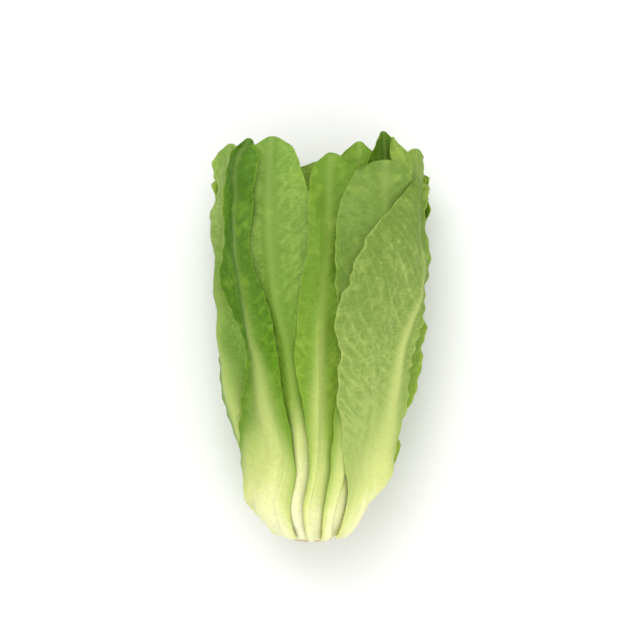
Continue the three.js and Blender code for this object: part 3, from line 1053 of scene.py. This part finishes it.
# Stem: rings of points about the axis, the cut face dished and faintly ridged by its bundles.
def stemPoints():
    steps = np.linspace(0, len(stem["along"]) - 1, stem["rings"])
    order = np.arange(len(stem["along"]))
    distance = np.interp(steps, order, stem["along"])
    radius = np.interp(steps, order, stem["radius"])
    rings = turnedRings(distance, radius, stem["sides"])
    turn = np.linspace(0, 2 * np.pi, stem["sides"], endpoint=False)[None, :]
    onFace = (steps < stem["faceSteps"])[:, None]
    share = radius[:, None] / stem["faceRadius"]
    ridges = stem["bundleRise"] * np.sin(stem["bundles"] * turn) * share**2 * (1 - share)
    dish = stem["hollow"] * (1 - share**2) + ridges
    rings[..., 1] += np.where(onFace, dish, 0.0)
    return rings


# The stem's rings joined by quads, each end closed by a fan to the middle of its ring.
def stemObject():
    rings = stemPoints()[1:-1]
    count, sides = rings.shape[:2]
    index = np.arange(count * sides).reshape(count, sides)
    after = np.roll(index, -1, axis=1)
    walls = np.stack([index[:-1], after[:-1], after[1:], index[1:]], axis=-1).reshape(-1, 4)
    points = rings.reshape(-1, 3)
    ends = np.stack([rings[0].mean(axis=0), rings[-1].mean(axis=0)])
    front = np.stack([after[0], index[0], np.full(sides, len(points))], axis=1)
    backEnd = np.stack([index[-1], after[-1], np.full(sides, len(points) + 1)], axis=1)
    faces = walls.tolist() + front.tolist() + backEnd.tolist()
    return smoothObject("stem_butt", np.concatenate([points, ends]), faces)


# Distances are in millimetres, from the butt's end or from the axis.
stemLook = {
    "faceFrom": 1.6,
    "faceTo": 3.4,
    "cloudScale": 160.0,
    "ringAt": 8.2,
    "ringWander": 3,
    "ringShow": 0.45,
    "rimFrom": 9.4,
    "rimTo": 12.2,
    "rimWander": 2.4,
    "rimShow": 0.65,
    "cream": paint(244, 240, 206),
    "darker": paint(232, 228, 178),
    "ring": paint(196, 178, 118),
    "rim": paint(186, 138, 84),
    "bump": 0.4,
    "bumpHeight": 0.0006,
    "roughness": 0.5,
}


# Stem: cream, with a browned rim and a faint ring where it was cut, and fine grain.
def stemFinish():
    r = Recipe("stem")
    own = stemLook
    body = r.node("ShaderNodeTexCoord", output="Object")
    axis = ((head["axisSide"][0] - head["centre"][0]) * metre, 0.0, head["axisHeight"][0] * metre)
    off = r.node("ShaderNodeVectorMath", {"operation": "SUBTRACT"}, {0: body, 1: axis})
    flat = r.node("ShaderNodeVectorMath", {"operation": "MULTIPLY"}, {0: off, 1: (1.0, 0.0, 1.0)})
    radius = r.node("ShaderNodeVectorMath", {"operation": "LENGTH"}, {0: flat}, output="Value") * inMetre
    depth = r.node("ShaderNodeSeparateXYZ", sockets={0: body}, output=1) * inMetre + head["centre"][1]
    face = 1 - r.eased(depth, own["faceFrom"], own["faceTo"])
    cloud = r.noise(body, own["cloudScale"], 4.0)
    ring = 1 - r.eased(abs(radius + (cloud - 0.5) * own["ringWander"] - own["ringAt"]), 0.2, 1.6)
    rim = r.eased(radius + (cloud - 0.5) * own["rimWander"], own["rimFrom"], own["rimTo"])
    colour = r.mixed(r.eased(cloud, 0.3, 0.7), own["cream"], own["darker"])
    colour = r.mixed(ring * face * own["ringShow"], colour, own["ring"])
    colour = r.mixed(rim * face * own["rimShow"], colour, own["rim"])
    bump = r.bumped(own["bump"], own["bumpHeight"], cloud * 0.7 + ring * 0.4)
    rough = own["roughness"] + cloud * 0.25
    return r.surface({"Base Color": colour, "Roughness": rough, "Normal": bump})


stemPiece = stemObject()
finished(stemPiece, "stem", stemFinish())
print("stem turned")

studio = {
    "floor": 3.0,
    "floorTone": (0.86, 0.86, 0.85, 1.0),
    "floorRoughness": 0.7,
    "skyTone": (1.0, 1.0, 1.0, 1.0),
    "sky": 0.95,
    "lightsLookAt": (0.0, 0.0, 0.04),
    "keyPower": 13.0,
    "keyAt": (-0.3, 0.8, 1.4),
    "keySize": 1.2,
    "fillPower": 3.0,
    "fillAt": (0.6, -0.9, 1.1),
    "fillSize": 1.2,
}


# Turns a light, which looks down at first, towards its target.
def aim(made, target):
    ahead = np.asarray(target, float) - np.asarray(made.location, float)
    yaw = math.atan2(ahead[0], -ahead[1])
    pitch = math.atan2(math.hypot(ahead[0], ahead[1]), -ahead[2])
    made.rotation_euler = (pitch, 0.0, yaw + math.pi)


def softLight(name, power, at, size):
    lamp = bpy.data.lights.new(name, "AREA")
    lamp.energy = power
    lamp.size = size
    made = added(name, lamp)
    made.location = at
    aim(made, studio["lightsLookAt"])


half = studio["floor"] / 2
floorMesh = bpy.data.meshes.new("floor")
floorCorners = [(-half, -half, 0), (half, -half, 0), (half, half, 0), (-half, half, 0)]
floorMesh.from_pydata(floorCorners, [], [(0, 1, 2, 3)])
floorFinish = {"Base Color": studio["floorTone"], "Roughness": studio["floorRoughness"]}
floorMesh.materials.append(Recipe("floor").surface(floorFinish))
floor = added("floor", floorMesh)

softLight("key", studio["keyPower"], studio["keyAt"], studio["keySize"])
softLight("fill", studio["fillPower"], studio["fillAt"], studio["fillSize"])
world = bpy.data.worlds.new("studio")
world.use_nodes = True
sky = world.node_tree.nodes["Background"]
sky.inputs["Color"].default_value = studio["skyTone"]
sky.inputs["Strength"].default_value = studio["sky"]
bpy.context.scene.world = world
bpy.context.scene.view_settings.view_transform = "Standard"

view = {
    "target": (-0.0010, 0.01135, 0.045),
    "away": 1.6,
    "width": 0.416,  # what the frame takes in at the target
    "sensor": 36.0,
}
camera = added("camera", bpy.data.cameras.new("camera"))
camera.data.sensor_width = view["sensor"]
camera.data.lens = view["sensor"] * view["away"] / view["width"]
camera.location = (view["target"][0], view["target"][1], view["target"][2] + view["away"])
bpy.context.scene.camera = camera
print("studio set")
